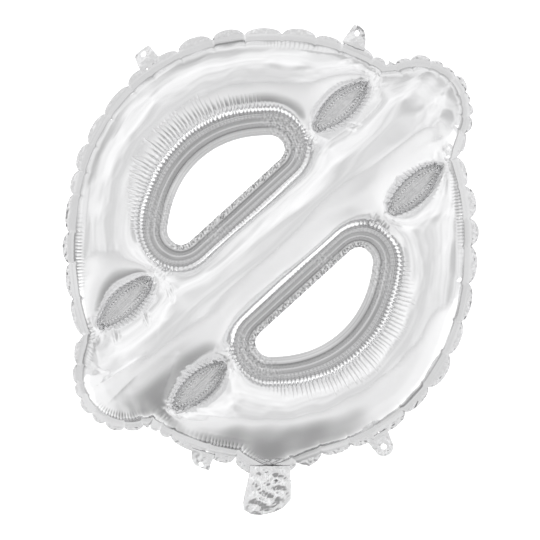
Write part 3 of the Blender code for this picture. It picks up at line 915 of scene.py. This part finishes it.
def neckFilm(name, side, node, seed):
    def edgeX(key, z):
        table = np.array(neckLook[key])[::-1] * mm
        return np.interp(z, table[:, 0], table[:, 1])

    shares = np.linspace(0, 1, 46)
    table = np.array(neckLook["bottom"])
    ends = np.interp(shares, table[:, 0], table[:, 1] * mm)
    rows = []
    for drop in np.linspace(0, 1, 60):
        z = -0.1815 + (ends + 0.1815) * drop
        left, right = edgeX("left", z), edgeX("right", z)
        x = left + (right - left) * shares
        flat = np.column_stack([x, z])
        round_ = np.sin(pi * shares) ** 0.6 * sin(pi * (0.12 + 0.68 * drop))
        y = side * (0.45 * mm + neckLook["bulge"] * round_)
        y = y + neckLook["crumple"] * np.sin(pi * shares) ** 0.5 * creased(flat, 9 * mm, 6, seed) * side * round_
        y = y + 0.35 * mm * round_ * creased(flat, 3.5 * mm, 4, seed + 1)
        y = side * np.maximum(side * y, 0.45 * mm)
        rows.append(np.column_stack([x, y, z]))
    return sheetPiece(name, np.array(rows), neckLook["thick"], neckFoil, [node])


beadLook = {
    # gathers of film that stand across each lens weld
    "Spacing": 2.7 * mm, "Length": 2.1 * mm, "Width": 1.15 * mm, "Height": 2.4 * mm, "Lean": 0.6, "Seed": 4,
}


def gatherTree():
    tree = bpy.data.node_groups.new("gathersAlongWeld", "GeometryNodeTree")
    face = tree.interface
    face.new_socket("Weld", in_out="INPUT", socket_type="NodeSocketGeometry")
    for key in beadLook:
        kind = "NodeSocketInt" if key == "Seed" else "NodeSocketFloat"
        face.new_socket(key, in_out="INPUT", socket_type=kind)
    face.new_socket("Finish", in_out="INPUT", socket_type="NodeSocketMaterial")
    face.new_socket("Gathers", in_out="OUTPUT", socket_type="NodeSocketGeometry")

    def add(kind, settings=None, values=None):
        made = tree.nodes.new(kind)
        for key, value in (settings or {}).items():
            setattr(made, key, value)
        for key, value in (values or {}).items():
            if isinstance(value, bpy.types.NodeSocket):
                tree.links.new(value, made.inputs[key])
            else:
                made.inputs[key].default_value = value
        return made.outputs

    given = add("NodeGroupInput")
    path = add("GeometryNodeMeshToCurve", values={0: given["Weld"]})[0]
    spaced = add("GeometryNodeResampleCurve", {"mode": "LENGTH"}, {"Curve": path, "Length": given["Spacing"]})[0]
    bead = add("GeometryNodeMeshIcoSphere", values={"Radius": 1.0, "Subdivisions": 2})[0]
    along = add("GeometryNodeInputTangent")[0]
    upright = add("FunctionNodeAlignRotationToVector", {"axis": "X"}, {"Vector": along})[0]
    level = add("FunctionNodeAlignRotationToVector", {"axis": "Z", "pivot_axis": "X"},
                {"Rotation": upright, "Vector": (0, -1, 0)})[0]
    lean = add("FunctionNodeRandomValue", {"data_type": "FLOAT"}, {2: 0.6, 3: 1.3, "Seed": given["Seed"]})[1]
    angle = add("ShaderNodeMath", {"operation": "MULTIPLY"}, {0: lean, 1: given["Lean"]})[0]
    spin = add("FunctionNodeAxisAngleToRotation", values={"Axis": (0, 0, 1), "Angle": angle})[0]
    turned = add("FunctionNodeRotateRotation", {"rotation_space": "LOCAL"}, {"Rotation": level, "Rotate By": spin})[0]
    size = add("ShaderNodeCombineXYZ", values={0: given["Width"], 1: given["Length"], 2: given["Height"]})[0]
    vary = add("FunctionNodeRandomValue", {"data_type": "FLOAT_VECTOR"},
               {0: (0.7, 0.6, 0.6), 1: (1.15, 1.25, 1.2), "Seed": given["Seed"]})[0]
    scale = add("ShaderNodeVectorMath", {"operation": "MULTIPLY"}, {0: size, 1: vary})[0]
    placed = add("GeometryNodeInstanceOnPoints",
                 values={"Points": spaced, "Instance": bead, "Rotation": turned, "Scale": scale})[0]
    real = add("GeometryNodeRealizeInstances", values={0: placed})[0]
    smooth = add("GeometryNodeSetShadeSmooth", values={0: real})[0]
    finished = add("GeometryNodeSetMaterial", values={"Geometry": smooth, "Material": given["Finish"]})[0]
    add("NodeGroupOutput", values={0: finished})
    return tree


def weldGathers(name, tree):
    own = lenses[name]
    inner = own["points"] - own["normal"] * 0.5 * mm
    count = own["count"]
    mesh = bpy.data.meshes.new(name + "Weld")
    mesh.from_pydata([(x, 0, z) for x, z in inner], [(i, (i + 1) % count) for i in range(count)], [])
    path = bpy.data.objects.new(name + "Weld", mesh)
    bpy.context.scene.collection.objects.link(path)
    maker = path.modifiers.new("gathers", "NODES")
    maker.node_group = tree
    for item in tree.interface.items_tree:
        if item.in_out == "INPUT" and item.name in beadLook:
            maker[item.identifier] = beadLook[item.name]
        elif item.name == "Finish":
            maker[item.identifier] = gatherFoil
    seen = path.evaluated_get(bpy.context.evaluated_depsgraph_get())
    made = bpy.data.objects.new(name + "Gathers", bpy.data.meshes.new_from_object(seen))
    bpy.context.scene.collection.objects.link(made)
    bpy.data.objects.remove(path, do_unlink=True)
    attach(made, "root")
    return made


print("gathers along the lens welds")
tree = gatherTree()
for name in lensEnds:
    weldGathers(name, tree)


print("neck")
neckFilm("neckFront", -1, "neck_front_film", 61)
neckFilm("neckBack", 1, "neck_back_film", 71)
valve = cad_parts["valve_film"]
valve.data.materials.clear()
valve.data.materials.append(valveFilm)


tabLook = {
    "bearings": {"upperLeft": 123.5, "upperRight": 67.5, "lowerLeft": 252.0, "lowerRight": 299.5},
    "lean": {"upperLeft": 28, "upperRight": -22, "lowerLeft": -20, "lowerRight": 14},
    "halfFoot": 9.8 * mm, "radius": 8.2 * mm, "height": 18.5 * mm, "hole": 2.4 * mm, "thick": 0.36 * mm,
    "seal": 9.5 * mm,
}


def tabShape(name):
    angles = np.linspace(0, tau, 72, endpoint=False)
    middle = tabLook["height"] - tabLook["radius"]
    c, s = np.cos(angles), np.sin(angles)
    outer = np.full(72, tabLook["radius"])
    drop = middle + 1.5 * mm
    low = s < -0.05
    slope = (tabLook["halfFoot"] - tabLook["radius"]) / middle
    sideReach = tabLook["radius"] / np.maximum(np.abs(c) + s * slope, 1e-3)
    footReach = drop / np.maximum(-s, 1e-3)
    outer[low] = np.maximum(np.minimum(sideReach, footReach), tabLook["radius"])[low]
    rows = []
    for k in np.linspace(0, 1, 14):
        r = tabLook["hole"] + (outer - tabLook["hole"]) * k
        rows.append(np.column_stack([c * r, np.zeros(72), middle + s * r]))
    return np.array(rows)


tabCurl = {
    # how far the tip curls, where the fold runs, and how far the sheet twists
    "upperLeft": (1.5, 0.35, 0.3), "upperRight": (-1.1, 0.9, 1.1), "lowerLeft": (1.9, 1.0, -0.8),
    "lowerRight": (-0.5, 0.5, 0.2),
}


def hangingTab(name, node, seed):
    own = outline
    at = np.argmin(np.abs(bearingOf(own["points"]) - tabLook["bearings"][name]))
    spot, outward = own["points"][at], -own["normal"][at]
    foot = spot + outward * (tabLook["seal"] - 1.2 * mm)
    grid = tabShape(name)
    x, z = grid[..., 0], grid[..., 2]
    curl, fold, twist = tabCurl[name]
    length = tabLook["height"]
    bend = curl * np.clip(z / length, 0, 1) ** 1.4
    y = length * 0.30 * np.sin(bend) * np.clip(z / length, 0, 1)
    y = y + 1.6 * mm * fold * np.abs(x / tabLook["radius"]) ** 1.5 * np.clip(z / length, 0, 1)
    z = z * (1 - 0.10 * np.clip(bend ** 2, 0, 3) * np.clip(z / length, 0, 1))
    lean = twist * np.clip(z / length, 0, 1)
    x, y = x * np.cos(lean) - y * np.sin(lean), x * np.sin(lean) + y * np.cos(lean)
    flat = np.column_stack([x.ravel(), z.ravel()])
    y = y + (0.35 * mm * creased(flat, 5 * mm, 4, seed)).reshape(y.shape) * np.clip(z / (4 * mm), 0, 1)
    tangent = np.array([-outward[1], outward[0]])
    place = foot + x[..., None] * tangent + z[..., None] * outward
    made = np.stack([place[..., 0], y, place[..., 1]], axis=-1)
    return sheetPiece(name + "Tab", made, tabLook["thick"], sealFoil, [node], wrapColumns=True)


print("hanging tabs")
for seed, name in enumerate(tabLook["bearings"]):
    hangingTab(name, "hanging_tab_" + "".join("_" + c.lower() if c.isupper() else c for c in name), 80 + seed)


# Studio: pale floor with a painted shadow, wide soft lights, and a camera square to the letter
studio = {"lens": 135.0, "frameWidth": 0.4469, "frameDrop": -0.01986, "floorDrop": -0.30}


def stageSheet():
    profile = [(-1.6, 0.0)] + [(1.9 + 0.9 * sin(a), 0.9 - 0.9 * cos(a)) for a in np.linspace(0, pi / 2, 16)]
    profile += [(2.8, 2.4)]
    corners = [(x, y, z + studio["floorDrop"]) for y, z in profile for x in (-1.8, 1.8)]
    faces = [(2 * i, 2 * i + 1, 2 * i + 3, 2 * i + 2) for i in range(len(profile) - 1)]
    mesh = bpy.data.meshes.new("paleSweep")
    mesh.from_pydata(corners, [], faces)
    mesh.shade_smooth()
    look = Finish("paleFloor")
    depth = look.node("ShaderNodeSeparateXYZ", values={0: look.place()}, output=1)
    away = look.node("ShaderNodeVectorMath", {"operation": "LENGTH"},
                     {0: look.node("ShaderNodeVectorMath", {"operation": "MULTIPLY"},
                                   {0: look.place(), 1: (1.9, 1, 0)})}, output=1)
    # painted shadow: the floor is darkest beneath the letter, a little darker in front of it, and evenly pale behind
    near = look.node("ShaderNodeMapRange", {"interpolation_type": "SMOOTHSTEP"},
                     {"Value": away, "From Min": 0.05, "From Max": 0.5, "To Min": 0.26, "To Max": 0.72})
    back = look.node("ShaderNodeMapRange", {"interpolation_type": "SMOOTHSTEP"},
                     {"Value": depth, "From Min": -0.02, "From Max": 0.3, "To Min": 0.0, "To Max": 1.0})
    paintedShadowTone = near + (0.94 - near) * back
    look.set(Base_Color=look.node("ShaderNodeCombineColor", values={0: paintedShadowTone, 1: paintedShadowTone, 2: paintedShadowTone}), Roughness=0.9)
    mesh.materials.append(look.material)
    sheet = bpy.data.objects.new("paleSweep", mesh)
    bpy.context.scene.collection.objects.link(sheet)


def softLight(name, place, target, size, watts):
    data = bpy.data.lights.new(name, "AREA")
    data.shape = "RECTANGLE"
    data.size, data.size_y = size
    data.energy = watts
    lamp = bpy.data.objects.new(name, data)
    bpy.context.scene.collection.objects.link(lamp)
    lamp.location = place
    lamp.visible_glossy = False
    lamp.rotation_euler = (Vector(target) - Vector(place)).to_track_quat("-Z", "Y").to_euler()


stageSheet()
softLight("floorLeft", (-0.95, -0.45, 0.55), (-0.95, -0.35, -0.3), (0.5, 0.8), 3.6)
softLight("floorRight", (1.0, -0.35, 0.55), (1.0, -0.25, -0.3), (0.5, 0.8), 3.6)
softLight("backLeft", (-1.65, 1.35, 1.4), (-0.25, 2.8, 0.25), (1.1, 1.1), 38)
softLight("backRight", (1.65, 1.35, 1.4), (0.25, 2.8, 0.25), (1.1, 1.1), 38)
airLook = {
    # directions, inner and outer width in degrees, and how much light each adds to or takes from the base
    "base": 0.865,
    "zones": (
        ((0, -1, -0.02), 4, 22, -0.12), ((-0.75, -0.55, 0.55), 12, 34, 0.13), ((0.8, -0.5, 0.35), 12, 30, 0.12),
        ((0.05, -0.6, 1.0), 10, 30, 0.10), ((-1, 0.15, 0.55), 5, 20, -0.28), ((1, 0.15, 0.5), 5, 20, -0.28),
        ((1, -0.22, 0.0), 5, 14, -0.28), ((-1, -0.22, 0.02), 5, 14, -0.16),
        ((-0.35, 0.1, 1), 6, 22, -0.25), ((0.45, 0.1, 1), 6, 20, -0.25), ((0.25, -0.85, 0.5), 3, 13, -0.14),
        ((-0.3, -0.9, 0.25), 3, 12, -0.12), ((-0.55, -0.35, 0.75), 2, 9, -0.20), ((0.75, -0.3, 0.6), 2, 9, -0.20),
    ),
    "streaks": 0.13, "streakScale": 4.5,
}


def studioAir():
    # soft white surround with a few grey zones for the foil to show
    world = bpy.data.worlds.new("studioAir")
    world.use_nodes = True
    air = Finish.__new__(Finish)
    air.nodes, air.links = world.node_tree.nodes, world.node_tree.links
    where = air.node("ShaderNodeTexCoord")
    total = airLook["base"]
    for way, inner, outer, gain in airLook["zones"]:
        lean = air.node("ShaderNodeVectorMath", {"operation": "DOT_PRODUCT"},
                        {0: where, 1: Vector(way).normalized()}, output=1)
        zone = air.node("ShaderNodeMapRange", {"interpolation_type": "SMOOTHSTEP"},
                        {"Value": lean, "From Min": cos(radians(outer)), "From Max": cos(radians(inner)),
                         "To Min": 0.0, "To Max": gain})
        total = zone + total
    patch = air.node("ShaderNodeTexNoise", values={"Vector": where, "Scale": airLook["streakScale"], "Detail": 2.0})
    total = total + (patch - 0.5) * (airLook["streaks"] * 4)
    background = world.node_tree.nodes["Background"]
    air.plug(total, background.inputs["Strength"])
    background.inputs["Color"].default_value = grey(1.0)
    bpy.context.scene.world = world


studioAir()
camera = bpy.data.objects.new("camera", bpy.data.cameras.new("camera"))
camera.data.lens = studio["lens"]
camera.location = (0, -studio["frameWidth"] * studio["lens"] / 36, studio["frameDrop"])
camera.rotation_euler = (pi / 2, 0, 0)
bpy.context.scene.collection.objects.link(camera)
bpy.context.scene.camera = camera
bpy.context.scene.view_settings.view_transform = "Standard"

print("done")
